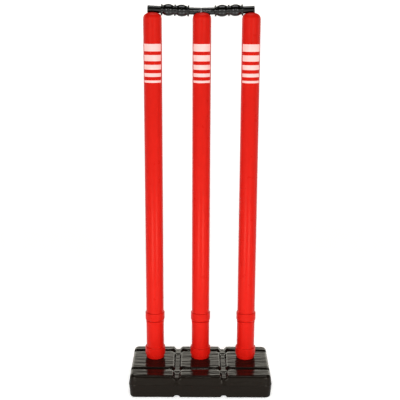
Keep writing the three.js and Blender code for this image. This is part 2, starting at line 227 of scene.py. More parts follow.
@labelled
class BailSettings(bpy.types.PropertyGroup):
    """Sizes and colour of the bails"""

    colour: colour("#040403", "Black of the bails")
    long_spigot: length(25.5, "Length of the long spigot")
    short_spigot: length(22, "Length of the short spigot")
    tip_radius: length(7.1, "Radius of a spigot's tip")
    root_radius: length(6.9, "Radius of a spigot at the barrel")
    tip_round: length(0.4, "Rounding of a spigot's tip")
    tip_reach: length(0.12, "How far a tip goes on, so that the two bails all but meet")
    flange_radius: length(10.9, "Radius of the barrel's end flanges")
    flange_width: length(3.3, "Width of a flange")
    edge_round: length(1.4, "Rounding of flanges and ring")
    bead_radius: length(11.4, "Radius of a bead at its crown")
    ring_radius: length(11.1, "Radius of the ring between the beads")
    ring_width: length(3.4, "Width of that ring")
    valley_radius: length(8.5, "Radius of the turned valleys")
    valley_width: length(1.3, "Width of a valley")
    segments: count(96, 16, "Flats round a bail")


@labelled
class StageSettings(bpy.types.PropertyGroup):
    """Floor, light and camera"""

    floor_colour: colour("#fbfbfb", "Pale paper that the stumps stand on")
    floor_size: amount(400, "Side of the floor", unit="LENGTH")
    floor_glow: amount(0.52, "Light through the floor under the stumps", subtype="FACTOR")
    far_glow: amount(0.84, "Light through the floor further out", subtype="FACTOR")
    camera_place: FloatVectorProperty(
        description="Where the camera is", default=(-0.005, -1.6266, 0.796), unit="LENGTH"
    )
    camera_pitch: angle(13.89, "How far it looks down")
    camera_yaw: angle(0.1, "How far it turns right")
    camera_roll: angle(0.26, "How far it tips")
    lens: amount(75.6, "Focal length in millimetres", unit="CAMERA")
    wall_colour: colour("#fffbee", "Warm white of the room")
    room: amount(0.03, "Brightness of the room", subtype="FACTOR")
    screen: amount(2.4, "Brightness of the screen behind the stumps", subtype="FACTOR")
    wall: amount(0.98, "Brightness of the walls all round, low down", subtype="FACTOR")
    key_power: amount(7.5, "Watts of each key light", unit="POWER")
    low_power: amount(1.35, "Watts of each low light", unit="POWER")
    front_power: amount(1.4, "Watts of the light above the camera", unit="POWER")
    top_power: amount(14, "Watts of the overhead light", unit="POWER")


# Paths and meshes

# The most of an edge that the arc at one of its ends can take
CORNER_SHARE = 0.49


def rounded_path(*corners, turn=math.radians(9), guard=mm(0.5)):
    """Points through (across, up, radius) corners, with an arc at each corner that has a radius.

    A guard point beside each arc keeps the flat next to it looking flat.
    """
    path = []
    for index, corner in enumerate(corners):
        at = Vector(corner[:2])
        radius = corner[2] if len(corner) > 2 else 0
        if not radius or index in (0, len(corners) - 1):
            path.append(tuple(at))
            continue
        back = Vector(corners[index - 1][:2]) - at
        ahead = Vector(corners[index + 1][:2]) - at
        back_room, ahead_room = [
            side.length * (CORNER_SHARE if len(corners[index + step]) > 2 else 1)
            for side, step in ((back, -1), (ahead, 1))
        ]
        back.normalize()
        ahead.normalize()
        half = back.angle(ahead) / 2
        reach = min(radius / math.tan(half), back_room, ahead_room)
        bend = reach * math.tan(half)
        centre = at + (back + ahead).normalized() * (bend / math.sin(half))
        start = at + back * reach - centre
        end = at + ahead * reach - centre
        sweep = math.atan2(start.x * end.y - start.y * end.x, start.dot(end))
        steps = max(round(abs(sweep) / turn), 3)
        if reach + guard < back_room:
            path.append(tuple(at + back * (reach + guard)))
        for step in range(steps + 1):
            path.append(tuple(centre + Matrix.Rotation(sweep * step / steps, 2) @ start))
        if reach + guard < ahead_room:
            path.append(tuple(at + ahead * (reach + guard)))
    return path


def refined(path, spacing):
    """The same path with points no further apart than the spacing."""
    finer = [path[0]]
    for before, after in zip(path, path[1:]):
        span = Vector(after) - Vector(before)
        parts = max(math.ceil(span.length / spacing), 1)
        finer.extend(tuple(Vector(before) + span * part / parts) for part in range(1, parts + 1))
    return finer


def circle(radius, steps, x=0, y=0):
    """Points round a circle."""
    turns = [2 * math.pi * step / steps for step in range(steps)]
    return [(x + radius * math.cos(turn), y + radius * math.sin(turn)) for turn in turns]


def band(lower, upper, gap=()):
    """Faces between two loops of point indices, which can share points, with a gap in their steps."""
    faces = []
    for step in range(len(lower)):
        ahead = (step + 1) % len(lower)
        corners = tuple(dict.fromkeys((lower[step], lower[ahead], upper[ahead], upper[step])))
        if len(corners) > 2 and step not in gap:
            faces.append(corners)
    return faces


def revolve(path, segments):
    """Points and faces of a revolve about Z, from (radius, height) points."""
    points, loops = [], []
    for radius, height in path:
        first = len(points)
        if radius < TINY:
            points.append((0, 0, height))
            loops.append([first] * segments)
        else:
            points.extend((x, y, height) for x, y in circle(radius, segments))
            loops.append(range(first, first + segments))
    return points, [face for lower, upper in zip(loops, loops[1:]) for face in band(lower, upper)]


def lofted(rings):
    """Points and faces of a closed body through rings of as many points each."""
    points = [point for ring in rings for point in ring]
    size = len(rings[0])
    loops = [range(first, first + size) for first in range(0, len(points), size)]
    sides = [face for lower, upper in zip(loops, loops[1:]) for face in band(lower, upper)]
    return points, [tuple(reversed(loops[0])), tuple(loops[-1]), *sides]


def finish_mesh(mesh, sharp=math.radians(50)):
    """Merges doubles, turns faces out and shades smooth, with true corners kept sharp."""
    work = bmesh.new()
    work.from_mesh(mesh)
    bmesh.ops.remove_doubles(work, verts=work.verts, dist=TINY)
    bmesh.ops.dissolve_degenerate(work, edges=work.edges, dist=TINY)
    bmesh.ops.recalc_face_normals(work, faces=work.faces)
    work.to_mesh(mesh)
    work.free()
    mesh.shade_smooth()
    mesh.set_sharp_from_angle(angle=sharp)


def linked(name, data):
    """A new object in the scene."""
    made = bpy.data.objects.new(name, data)
    bpy.context.scene.collection.objects.link(made)
    return made


def add_piece(name, points, faces, material, place=None):
    """A new object with its place in its mesh."""
    mesh = bpy.data.meshes.new(name)
    mesh.from_pydata([tuple(point) for point in points], [], faces)
    finish_mesh(mesh)
    if place is not None:
        mesh.transform(place)
    mesh.materials.append(material)
    return linked(name, mesh)


def plain_mesh(made):
    """The object's mesh with its modifiers worked in. The modifiers are removed."""
    graph = bpy.context.evaluated_depsgraph_get()
    mesh = bpy.data.meshes.new_from_object(made.evaluated_get(graph), depsgraph=graph)
    made.modifiers.clear()
    if len(mesh.polygons) == 0:
        raise RuntimeError(f"nothing is left of {made.name}")
    finish_mesh(mesh)
    return mesh


def settle(piece, body, slot, *nodes):
    """Rides a piece on its body and lets it stand for CAD nodes."""
    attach(piece, body)
    if nodes:
        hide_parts(*nodes)


def join(piece, other, operation):
    """Joins a closed body to the piece, or cuts it out, and removes that body."""
    modifier = piece.modifiers.new("join", "BOOLEAN")
    modifier.operation = operation
    modifier.solver = "EXACT"
    modifier.object = other
    piece.data = plain_mesh(piece)
    bpy.data.objects.remove(other)


# Materials

# A plastic's darkest and lightest shade, as shares of its colour
SHADES = (0.93, 1.05)
# How many of its skin's dimples a patch of even gloss takes in, across
GLOSS_PATCH = 12
# Most of a noise texture's values lie between these
NOISE_RANGE = (0.3, 0.7)
SAND_GRAIN = mm(0.9)


def fill(node, values):
    """Sets a node's inputs from plain values or from other nodes' outputs."""
    for name, value in values.items():
        if isinstance(value, bpy.types.NodeSocket):
            node.id_data.links.new(value, node.inputs[name])
        else:
            node.inputs[name].default_value = value


def add_node(tree, kind, values=None, **settings):
    """Adds a node with its settings, and fills its inputs."""
    made = tree.nodes.new(kind)
    for name, value in settings.items():
        setattr(made, name, value)
    fill(made, values or {})
    return made


def calculated(tree, operation, *values):
    """The result of a calculation on plain values or other nodes' outputs."""
    return add_node(tree, "ShaderNodeMath", dict(enumerate(values)), operation=operation).outputs[0]


def mapped(tree, value, start, end, low, high, **settings):
    """The value's place between start and end, carried over to low and high."""
    values = {"Value": value, "From Min": start, "From Max": end, "To Min": low, "To Max": high}
    return add_node(tree, "ShaderNodeMapRange", values, **settings).outputs["Result"]


def new_material(name):
    """A new material, with its tree, its shader and the place on the object that is shaded."""
    material = bpy.data.materials.new(name)
    material.use_nodes = True
    tree = material.node_tree
    place = add_node(tree, "ShaderNodeTexCoord").outputs["Object"]
    return material, tree, tree.nodes["Principled BSDF"], place


def plastic(name, shade, rough, spread, specular, grain, height, tint=(1, 1, 1), run=1.0):
    """Moulded plastic: an even colour, a gloss that varies a little and a fine uneven skin.

    rough is the mean roughness and spread is how far it varies. grain is the distance between the skin's
    dimples and height is how deep they are, in metres. They are as many times longer along X as run says.
    """
    material, tree, shader, spot = new_material(name)
    place = add_node(tree, "ShaderNodeMapping", {"Vector": spot, "Scale": (1 / run, 1, 1)}).outputs["Vector"]
    patches = {"Vector": place, "Scale": 1 / (grain * GLOSS_PATCH), "Detail": 3.0, "Roughness": 0.55}
    cloud = add_node(tree, "ShaderNodeTexNoise", patches).outputs["Fac"]
    gloss = mapped(tree, cloud, *NOISE_RANGE, rough - spread, rough + spread)
    deep, full = [(*[min(channel * share, 1) for channel in shade], 1) for share in SHADES]
    mixed = add_node(tree, "ShaderNodeMix", {0: cloud, 6: deep, 7: full}, data_type="RGBA")
    skin = add_node(tree, "ShaderNodeTexNoise", {"Vector": place, "Scale": 1 / grain, "Detail": 2.0})
    dimples = {"Height": skin.outputs["Fac"], "Distance": height, "Strength": 1.0}
    bump = add_node(tree, "ShaderNodeBump", dimples)
    fill(
        shader,
        {
            "Base Color": mixed.outputs[2],
            "Roughness": gloss,
            "Normal": bump.outputs["Normal"],
            "Specular IOR Level": specular,
            "Specular Tint": (*tint, 1),
            "IOR": 1.49,
        },
    )
    return material


def sand_material():
    """Dry sand: pale and dark grains under a millimetre across, quite dull."""
    material, tree, shader, place = new_material("dry_sand")
    cells = add_node(tree, "ShaderNodeTexVoronoi", {"Vector": place, "Scale": 1 / SAND_GRAIN})
    grains = cells.outputs["Distance"]
    ramp = add_node(tree, "ShaderNodeValToRGB", {"Fac": grains})
    for element, hex_code in zip(ramp.color_ramp.elements, ("#d8bd8c", "#8f7448")):
        element.color = (*linear(hex_code), 1)
    bump = add_node(tree, "ShaderNodeBump", {"Height": grains, "Distance": mm(0.4)})
    fill(shader, {"Base Color": ramp.outputs["Color"], "Normal": bump.outputs["Normal"], "Roughness": 0.95})
    return material


# Base

# Slopes of the walls of the cross grooves and of the long channels
GROOVE_ANGLE = math.radians(50)
CHANNEL_ANGLE = math.radians(60)
# Cells of the base's grids, across grooves and elsewhere, and how far the fine ones reach past a groove
FINE_CELL = mm(0.6)
PLAIN_CELL = mm(3)
FINE_MARGIN = mm(1)
# A square patch of cells holds each round hole: how far it reaches past a socket, and its cells to each side
PATCH_MARGIN = mm(4.1)
PATCH_CELLS = 8
# Steps round a corner of the base's plan
CORNER_STEPS = 8
# How far the recess's patch reaches down and up, as shares of a socket's patch
RECESS_REACH = (0.83, 0.84)
# The recess's side, from the wall to its floor, as shares of its lip outwards and of its depth
RECESS_SIDE = ((1, 0), (1 / 3, 0.06), (0, 0.2), (0, 0.9), (-1, 1))
# Socket radii over which the skin's waves come in, and what share a distance along the base counts in them
WAVE_FADE = 1.6
WAVE_RUN = 0.45
# The skin has no waves this many patches round the filler, and this far in from the recess's floor
FILLER_CALM = 1.3
FILLER_DEPTH = mm(9)
# Flats round what stands in the hollow, and round the plug
POST_SIDES = 64
PLUG_SIDES = 96


def held(value):
    """The value held between 0 and 1."""
    return min(max(value, 0), 1)


def nearest(values, target):
    """Which of the values is closest to the target."""
    return min(range(len(values)), key=lambda index: abs(values[index] - target))


def stops(edges):
    """Line positions from (start, spacing) stretches, the last of which only ends the row."""
    lines = []
    for (start, spacing), (end, _) in zip(edges, edges[1:]):
        parts = max(round((end - start) / spacing), 1)
        lines.extend(start + (end - start) * part / parts for part in range(parts))
    return lines + [edges[-1][0]]


def border_sides(at, left, right, near, far):
    """The sides of a rectangle of grid points, in order round it, each without its last point."""
    return [
        [at(step, near) for step in range(left, right)],
        [at(right, step) for step in range(near, far)],
        [at(step, far) for step in range(right, left, -1)],
        [at(left, step) for step in range(far, near, -1)],
    ]


def border(*rectangle):
    """All points round a rectangle of grid points."""
    return [index for side in border_sides(*rectangle) for index in side]


def groove_kinds(s):
    """Floor, depth, wall angle and lip of the top's cross grooves, the underside's and the channels."""
    return (
        (s.groove_floor, s.groove_depth, GROOVE_ANGLE, s.groove_lip),
        (s.groove_floor, s.under_depth, GROOVE_ANGLE, s.groove_lip),
        (s.channel_floor, s.channel_depth, CHANNEL_ANGLE, s.channel_lip),
    )


def groove_profile(floor, depth, wall_angle, lip):
    """A groove's half section: its reach from the middle line, and depth as a function of that distance."""
    head = floor / 2 + depth / math.tan(wall_angle)
    reach = head + lip * math.tan(wall_angle / 2)
    path = rounded_path((0, depth), (floor / 2, depth, lip / 2), (head, 0, lip), (reach * 2, 0))
    across, down = np.array(path).T
    return reach, lambda distance: float(np.interp(distance, across, down))


class BaseShape:
    """The base's outer skin as a function: side profile, grooves and channels."""

    def __init__(self, sizes):
        self.sizes = sizes
        top, under, channel = [groove_profile(*kind) for kind in groove_kinds(sizes)]
        self.groove_reach, self.groove = top
        self.under = under[1]
        self.channel_reach, self.channel = channel
        self.groove_places = [(AXES[side][0] + AXES["middle"][0]) / 2 for side in OUTER_SIDES]
        self.channel_places = [sizes.front_inset - BASE_HALF_DEPTH, BASE_HALF_DEPTH - sizes.back_inset]
        self.patch = sizes.socket_radius + PATCH_MARGIN
        self.recess_floor = BASE_HALF_DEPTH - sizes.recess_depth

    def profile(self):
        """Side profile as (inset, height) points, from the underside's flat to the top's."""
        s = self.sizes
        slope_up = s.top_draft / (BASE_TOP - s.parting_height)
        slope_down = s.bottom_draft / s.parting_height
        bead = s.parting_width / 2
        path = rounded_path(
            (s.corner_radius, 0),
            (s.bottom_draft, 0, s.bottom_round),
            (slope_down * bead, s.parting_height - bead, bead / 2),
            (-s.parting_bead, s.parting_height - bead / 3, bead / 4),
            (-s.parting_bead, s.parting_height + bead / 3, bead / 4),
            (slope_up * bead, s.parting_height + bead, bead / 2),
            (s.top_draft, BASE_TOP, s.top_round),
            (s.corner_radius, BASE_TOP),
        )
        spaced = path[:1]
        for before, after in zip(path, path[1:]):
            steps = max(1, math.ceil((after[1] - before[1]) / s.wall_step))
            for share in [step / steps for step in range(1, steps + 1)]:
                spaced.append(tuple(start + (end - start) * share for start, end in zip(before, after)))
        return spaced

    def top_depth(self, x, y):
        """How far the grooves and channels take the top down at a place."""
        rounding = self.sizes.panel_corner
        across = self.groove_reach - min(abs(x - place) for place in self.groove_places)
        along = self.channel_reach - min(abs(y - place) for place in self.channel_places)
        a, b = max(across + rounding, 0), max(along + rounding, 0)
        inside = math.hypot(a, b) - rounding
        if inside <= 0:
            return 0
        share = a * a / (a * a + b * b)
        groove = self.groove(max(self.groove_reach - inside, 0))
        channel = self.channel(max(self.channel_reach - inside, 0))
        return groove * share + channel * (1 - share)

    def moulded(self, x, y, z):
        """A point of the plain body moved by the grooves of the top or the underside."""
        s = self.sizes
        over = z - s.parting_height
        if over > 0:
            return x, y, z - self.top_depth(x, y) * held(over / (BASE_TOP - s.top_round - s.parting_height))
        distance = min(abs(x - place) for place in self.groove_places)
        return x, y, z + self.under(distance) * held(-over / (s.parting_height - s.bottom_round))

    def waved(self, x, y, z):
        """A point moved by the skin's slow unevenness, which fades out near sockets, floor and filler."""
        s = self.sizes
        by_filler = math.hypot(x, z - s.filler_height) < FILLER_CALM * self.patch
        if by_filler and y > self.recess_floor - FILLER_DEPTH and z < BASE_TOP - s.top_round:
            return x, y, z
        past = min(math.hypot(x - ax, y - ay) for ax, ay in AXES.values()) - s.socket_radius - s.socket_lip
        fade_in = held(past / (WAVE_FADE * s.socket_radius)) if z > s.parting_height else 1
        height = s.wave_height * fade_in * min(z / s.parting_height, 1)
        lift = noise.noise(Vector((x * WAVE_RUN, y, z)) / s.wave_length) * height
        if z > BASE_TOP - s.top_round - s.groove_depth:
            return x, y, z + lift
        return x + x / BASE_HALF_LENGTH * lift, y + y / BASE_HALF_DEPTH * lift, z


def base_lines(shape):
    """Grid lines of the base, close together where there are grooves."""
    s, patch = shape.sizes, shape.patch
    end_x, end_y = BASE_HALF_LENGTH - s.corner_radius, BASE_HALF_DEPTH - s.corner_radius
    stretches = [(AXES[side][0], patch, patch / PATCH_CELLS) for side in SIDES]
    stretches += [(place, shape.groove_reach + FINE_MARGIN, FINE_CELL) for place in shape.groove_places]
    across = [(-end_x, PLAIN_CELL)]
    for place, reach, cell in sorted(stretches):
        across += [(place - reach, cell), (place + reach, PLAIN_CELL)]
    across.append((end_x, PLAIN_CELL))
    front, back = shape.channel_places
    reach = shape.channel_reach + FINE_MARGIN / 2
    y = AXES["middle"][1]
    along = [
        (-end_y, PLAIN_CELL),
        (front - reach, FINE_CELL),
        (front + reach, PLAIN_CELL),
        (y - patch, patch / PATCH_CELLS),
        (y + patch, FINE_CELL),
        (back + reach, PLAIN_CELL),
        (end_y, PLAIN_CELL),
    ]
    return stops(across), stops(along)


def sink_rings(points, faces, hole, flat, profile, place):
    """Fills the hole inside a loop of points with rings, down a path of (radius, depth) points.

    flat gives a point's place on the surface, from the hole's centre, and place goes back.
    """
    turns = [math.atan2(*reversed(flat(points[index]))) for index in hole]
    last = hole
    for radius, depth in profile:
        first = len(points)
        if radius < TINY:
            points.append(place(0, 0, depth))
            ring = [first] * len(hole)
        else:
            points.extend(place(radius * math.cos(turn), radius * math.sin(turn), depth) for turn in turns)
            ring = range(first, first + len(hole))
        faces.extend(band(last, ring))
        last = ring


def base_mesh(s):
    """Points and faces of the base: two grids joined by rings round the sides."""
    shape = BaseShape(s)
    patch = shape.patch
    columns, rows = base_lines(shape)
    profile = shape.profile()
    insets, heights = zip(*profile)
    end_x, end_y = columns[-1], rows[-1]
    points, faces = [], []

    def grid(height, holes):
        """Adds a grid with a square hole at each of the places, and returns how to find its points."""
        first = len(points)
        points.extend(shape.moulded(x, y, height) for y in rows for x in columns)

        def at(column, row):
            return first + row * len(columns) + column

        for row in range(len(rows) - 1):
            y = (rows[row] + rows[row + 1]) / 2
            for column in range(len(columns) - 1):
                x = (columns[column] + columns[column + 1]) / 2
                if not any(abs(x - hx) < patch and abs(y - hy) < patch for hx, hy in holes):
                    faces.append(tuple(border(at, column, column + 1, row, row + 1)))
        return at

    def edge_of(at):
        """The grid's border, with each corner repeated where the rings have an arc."""
        sides = border_sides(at, 0, len(columns) - 1, 0, len(rows) - 1)
        pairs = zip(sides, sides[1:] + sides[:1])
        return [index for side, following in pairs for index in side + following[:1] * CORNER_STEPS]

    def ring(inset, height):
        """Adds a ring round the sides."""
        first = len(points)
        radius = s.corner_radius - inset
        stretches = [
            ([(x, -end_y - radius) for x in columns], (end_x, -end_y)),
            ([(end_x + radius, y) for y in rows], (end_x, end_y)),
            ([(x, end_y + radius) for x in reversed(columns)], (-end_x, end_y)),
            ([(-end_x - radius, y) for y in reversed(rows)], (-end_x, -end_y)),
        ]
        for quarter, (straight, (cx, cy)) in enumerate(stretches):
            turns = [math.pi / 2 * (quarter - 1 + step / CORNER_STEPS) for step in range(1, CORNER_STEPS)]
            arc = [(cx + radius * math.cos(turn), cy + radius * math.sin(turn)) for turn in turns]
            points.extend(shape.moulded(x, y, height) for x, y in straight + arc)
        return range(first, len(points))

    under = grid(0, [])
    over = grid(BASE_TOP, AXES.values())
    rings = [edge_of(under)] + [ring(*point) for point in profile[1:-1]] + [edge_of(over)]
    down, up = RECESS_REACH
    low, high = [nearest(heights, s.filler_height + patch * share) for share in (-down, up)]
    back = len(columns) + len(rows) + 2 * (CORNER_STEPS - 1)
    left, right = [back + nearest(columns[::-1], x) for x in (patch, -patch)]
    for level in range(len(rings) - 1):
        faces.extend(band(rings[level], rings[level + 1], range(left, right) if low <= level < high else ()))

    floor = BASE_TOP - s.socket_floor
    socket = [
        (s.socket_radius + 2 * s.socket_lip, 0),
        (s.socket_radius, 0, s.socket_lip),
        (s.socket_radius, floor, s.socket_lip / 2),
        (0, floor),
    ]
    for x, y in AXES.values():
        column, row = nearest(columns, x - patch), nearest(rows, y - patch)
        sink_rings(
            points,
            faces,
            border(over, column, column + 2 * PATCH_CELLS, row, row + 2 * PATCH_CELLS),
            lambda point: (point[0] - x, point[1] - y),
            rounded_path(*socket)[1:],
            lambda u, v, depth: (x + u, y + v, BASE_TOP - depth),
        )

    def wall_place(u, v, depth):
        """On the drafted back wall at depth 0, on the recess's floor at depth 1 and inside past it."""
        z = s.filler_height + v
        wall_y = BASE_HALF_DEPTH - float(np.interp(z, heights, insets))
        if depth <= 1:
            return u, wall_y + (shape.recess_floor - wall_y) * depth, z
        return u, shape.recess_floor - (depth - 1), z

    lip = s.socket_lip / 4
    end = 1 + s.filler_wall + OVERRUN
    recess = [(s.recess_radius + lip * outwards, depth) for outwards, depth in RECESS_SIDE]
    recess += [(s.filler_radius + lip, 1), (s.filler_radius, 1 + lip), (s.filler_radius, end), (0, end)]
    hole = border(lambda step, level: rings[level][step], left, right, low, high)
    sink_rings(points, faces, hole, lambda point: (point[0], point[2] - s.filler_height), recess, wall_place)
    return [shape.waved(*point) for point in points], faces


def groove_room(floor, depth, wall_angle, wall):
    """Section of what a groove and the wall behind it take out of the hollow, as (across, down) points."""
    foot = floor / 2 + wall * math.tan(wall_angle / 2)
    down = depth + wall
    head = foot + (down + OVERRUN) / math.tan(wall_angle)
    return [(-head, -OVERRUN), (head, -OVERRUN), (foot, down), (-foot, down)]


def hollow_rooms(s, shape):
    """Rings of each closed body that stays out of the hollow: grooves, sockets and filler."""
    end_x, end_y = BASE_HALF_LENGTH + OVERRUN, BASE_HALF_DEPTH + OVERRUN
    top, under, channel = [groove_room(*kind[:3], s.wall) for kind in groove_kinds(s)]
    for place in shape.groove_places:
        yield [[(place + across, y, BASE_TOP - down) for across, down in top] for y in (-end_y, end_y)]
        yield [[(place + across, y, down) for across, down in under] for y in (-end_y, end_y)]
    for place in shape.channel_places:
        yield [[(x, place + across, BASE_TOP - down) for across, down in channel] for x in (-end_x, end_x)]
    for x, y in AXES.values():
        post = circle(s.socket_radius + s.wall, POST_SIDES, x, y)
        yield [[(*point, height) for point in post] for height in (-OVERRUN, BASE_TOP + OVERRUN)]
    boss = circle(s.recess_radius + s.wall, POST_SIDES, 0, s.filler_height)
    front = shape.recess_floor - s.filler_wall
    yield [[(x, y, z) for x, z in boss] for y in (front, end_y)]


def plan_outline(s, inset):
    """Points round the base's plan, with its rounded corners, moved inwards."""
    radius = s.corner_radius - inset
    end_x, end_y = BASE_HALF_LENGTH - inset - radius, BASE_HALF_DEPTH - inset - radius
    outline = []
    for quarter, (side_x, side_y) in enumerate(((1, 1), (-1, 1), (-1, -1), (1, -1))):
        for step in range(CORNER_STEPS + 1):
            turn = math.pi / 2 * (quarter + step / CORNER_STEPS)
            x = side_x * end_x + radius * math.cos(turn)
            outline.append((x, side_y * end_y + radius * math.sin(turn)))
    return outline


def base_hollow(s, material):
    """The room inside the moulding's walls, as a closed object to cut out of it."""
    profile = rounded_path(
        (s.bottom_draft + s.wall + s.bottom_round, s.wall),
        (s.bottom_draft + s.wall, s.wall, s.bottom_round - s.wall),
        (s.wall, s.parting_height),
        (s.top_draft + s.wall, BASE_TOP - s.wall, s.top_round - s.wall),
        (s.top_draft + s.wall + s.top_round, BASE_TOP - s.wall),
    )
    rings = [[(*point, height) for point in plan_outline(s, inset)] for inset, height in profile]
    hollow = add_piece("hollow", *lofted(rings), material)
    for room in hollow_rooms(s, BaseShape(s)):
        join(hollow, add_piece("room", *lofted(room), material), "DIFFERENCE")
    return hollow


class STUMPS_OT_base(bpy.types.Operator):
    """Makes the hollow moulded base with its grooves, sockets and filler hole"""

    bl_idname = "stumps.base"
    bl_label = "Base"

    def execute(self, context):
        sizes = context.scene.stumps_base
        # Blow-moulded black polyethylene: glossy, slightly uneven, so it mirrors the studio softly
        look = {"rough": 0.12, "spread": 0.05, "specular": 0.1, "grain": mm(8), "height": mm(1.0)}
        black = plastic("black_moulded_polyethylene", sizes.colour, tint=(1, 0.93, 0.8), run=6, **look)
        made = add_piece("base_moulding", *base_mesh(sizes), black)
        join(made, base_hollow(sizes, black), "DIFFERENCE")
        settle(made, "base", "base_plastic", "base_shell")
        return {"FINISHED"}


class STUMPS_OT_ballast(bpy.types.Operator):
    """Gives the sand inside the base its finish"""

    bl_idname = "stumps.ballast"
    bl_label = "Ballast"

    def execute(self, context):
        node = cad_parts["ballast_sand"]
        node.data.materials.clear()
        node.data.materials.append(sand_material())
        return {"FINISHED"}


def grip_mesh(plug):
    """The bar across the plug's dish, in the plug's own frame."""
    bar = bmesh.new()
    bmesh.ops.create_cube(bar, size=1)
    long_side = 2 * plug.dish_radius + plug.grip
    bmesh.ops.scale(bar, vec=(long_side, plug.grip, plug.dish_depth), verts=bar.verts)
    bmesh.ops.translate(bar, vec=(0, 0, plug.flange - plug.dish_depth / 2), verts=bar.verts)
    upper = [edge for edge in bar.edges if all(vert.co.z > 0 for vert in edge.verts)]
    bmesh.ops.bevel(bar, geom=upper, offset=plug.rounding, segments=4, profile=0.5, affect="EDGES")
    mesh = bpy.data.meshes.new("grip")
    bar.to_mesh(mesh)
    bar.free()
    return mesh


class STUMPS_OT_filler_plug(bpy.types.Operator):
    """Makes the push-in plug at the back of the base"""

    bl_idname = "stumps.filler_plug"
    bl_label = "Filler plug"

    def execute(self, context):
        base, plug = context.scene.stumps_base, context.scene.stumps_plug
        look = {"rough": 0.45, "spread": 0.06, "specular": 0.4, "grain": mm(1.0), "height": mm(0.02)}
        black = plastic("black_soft_pvc", plug.colour, **look)
        flange = base.recess_radius - plug.clearance
        shank = base.filler_radius - plug.clearance
        top = plug.clearance + plug.flange
        path = rounded_path(
            (0, -plug.shank),
            (shank, -plug.shank, plug.rounding),
            (shank, plug.clearance, plug.rounding / 2),
            (flange, plug.clearance, plug.rounding),
            (flange, top, plug.rounding),
            (plug.dish_radius, top, plug.rounding),
            (plug.dish_radius, top - plug.dish_depth, plug.rounding),
            (0, top - plug.dish_depth),
        )
        place = Matrix.Translation((0, PLUG_END + plug.shank, base.filler_height))
        place @= Matrix.Rotation(-math.pi / 2, 4, "X")
        made = add_piece("filler_plug_moulding", *revolve(path, PLUG_SIDES), black, place)
        grip = linked("grip", grip_mesh(plug))
        grip.data.transform(place)
        join(made, grip, "UNION")
        settle(made, "filler_plug", "plug_plastic", "filler_plug")
        return {"FINISHED"}


# Stumps

# How far below its inner crown the tube's fine rings reach, and how far apart they are
DOME_REACH = mm(6)
DOME_STEP = mm(0.45)
# Steps round a printed bar, and how far its ink goes into the tube
BAR_STEPS = 64
INK_SINK = mm(0.04)


def soft_min(first, second, width):
    """The smaller of two heights, rounded over where they meet."""
    blend = max(width - abs(first - second), 0) / width
    return min(first, second) - blend * blend * width / 4


def tube_mesh(s):
    """Points and faces of a tube, with the bail groove let into its domed top."""
    ring_bottom = FOOT_TOP + s.seat_gap
    ring_top = ring_bottom + s.ring_length
    crown = STUMP_TOP - s.groove_depth - s.wall
    dome_end = crown - DOME_REACH
    inner, bore = s.radius - s.wall, s.spigot_radius - s.wall
    dome = rounded_path((0, STUMP_TOP), (s.radius, STUMP_TOP, s.shoulder), (s.radius, dome_end))
    body = rounded_path(
        (s.radius, dome_end),
        (s.radius, ring_top, s.corner),
        (RING_RADIUS, ring_top, s.ring_round),
        (RING_RADIUS, ring_bottom, s.ring_round),
        (s.spigot_radius, ring_bottom),
        (s.spigot_radius, SPIGOT_END, s.corner),
        (bore, SPIGOT_END),
        (bore, ring_top - s.wall),
        (inner, ring_top + s.wall),
        (inner, crown, s.wall),
        (0, crown),
    )
    points, faces = revolve(refined(dome, DOME_STEP) + body[1:], s.segments)
    groove_axis = STUMP_TOP - s.groove_depth + s.groove_radius
    lowest = STUMP_TOP - s.groove_depth - s.groove_lip
    shaped = []
    for x, y, z in points:
        if z > lowest and abs(y) < s.groove_radius:
            z = soft_min(z, groove_axis - math.sqrt(s.groove_radius**2 - y**2), s.groove_lip)
        shaped.append((x, y, z))
    return shaped, faces


def foot_mesh(s):
    """Points and faces of a foot: neck, collar, sleeve and rim."""
    collar_top = s.collar_bottom + s.collar_length
    bore = s.spigot_radius + s.seat_gap
    web_top = SPIGOT_END - s.seat_gap
    lower_bore = s.neck_radius - s.neck_wall
    path = rounded_path(
        (0, web_top - s.web),
        (lower_bore, web_top - s.web),
        (lower_bore, NECK_END),
        (s.neck_radius, NECK_END, s.neck_round),
        (s.neck_radius, s.seat_gap),
        (s.band_radius, s.seat_gap, s.band_round),
        (s.band_top, s.collar_bottom, s.corner),
        (COLLAR_RADIUS, s.collar_bottom, s.collar_round),
        (COLLAR_RADIUS, collar_top, s.collar_round),
        (s.sleeve_radius, collar_top, s.corner),
        (s.sleeve_radius, FOOT_TOP - s.rim_length, s.corner),
        (s.rim_radius, FOOT_TOP - s.rim_length, s.rim_round),
        (s.rim_radius, FOOT_TOP, s.rim_round),
        (bore, FOOT_TOP),
        (bore, web_top),
        (0, web_top),
    )
    return revolve(path, s.segments)


def stump_place(side):
    """Where a stump's own frame stands: on its axis, on top of the base."""
    return Matrix.Translation((*AXES[side], BASE_TOP))


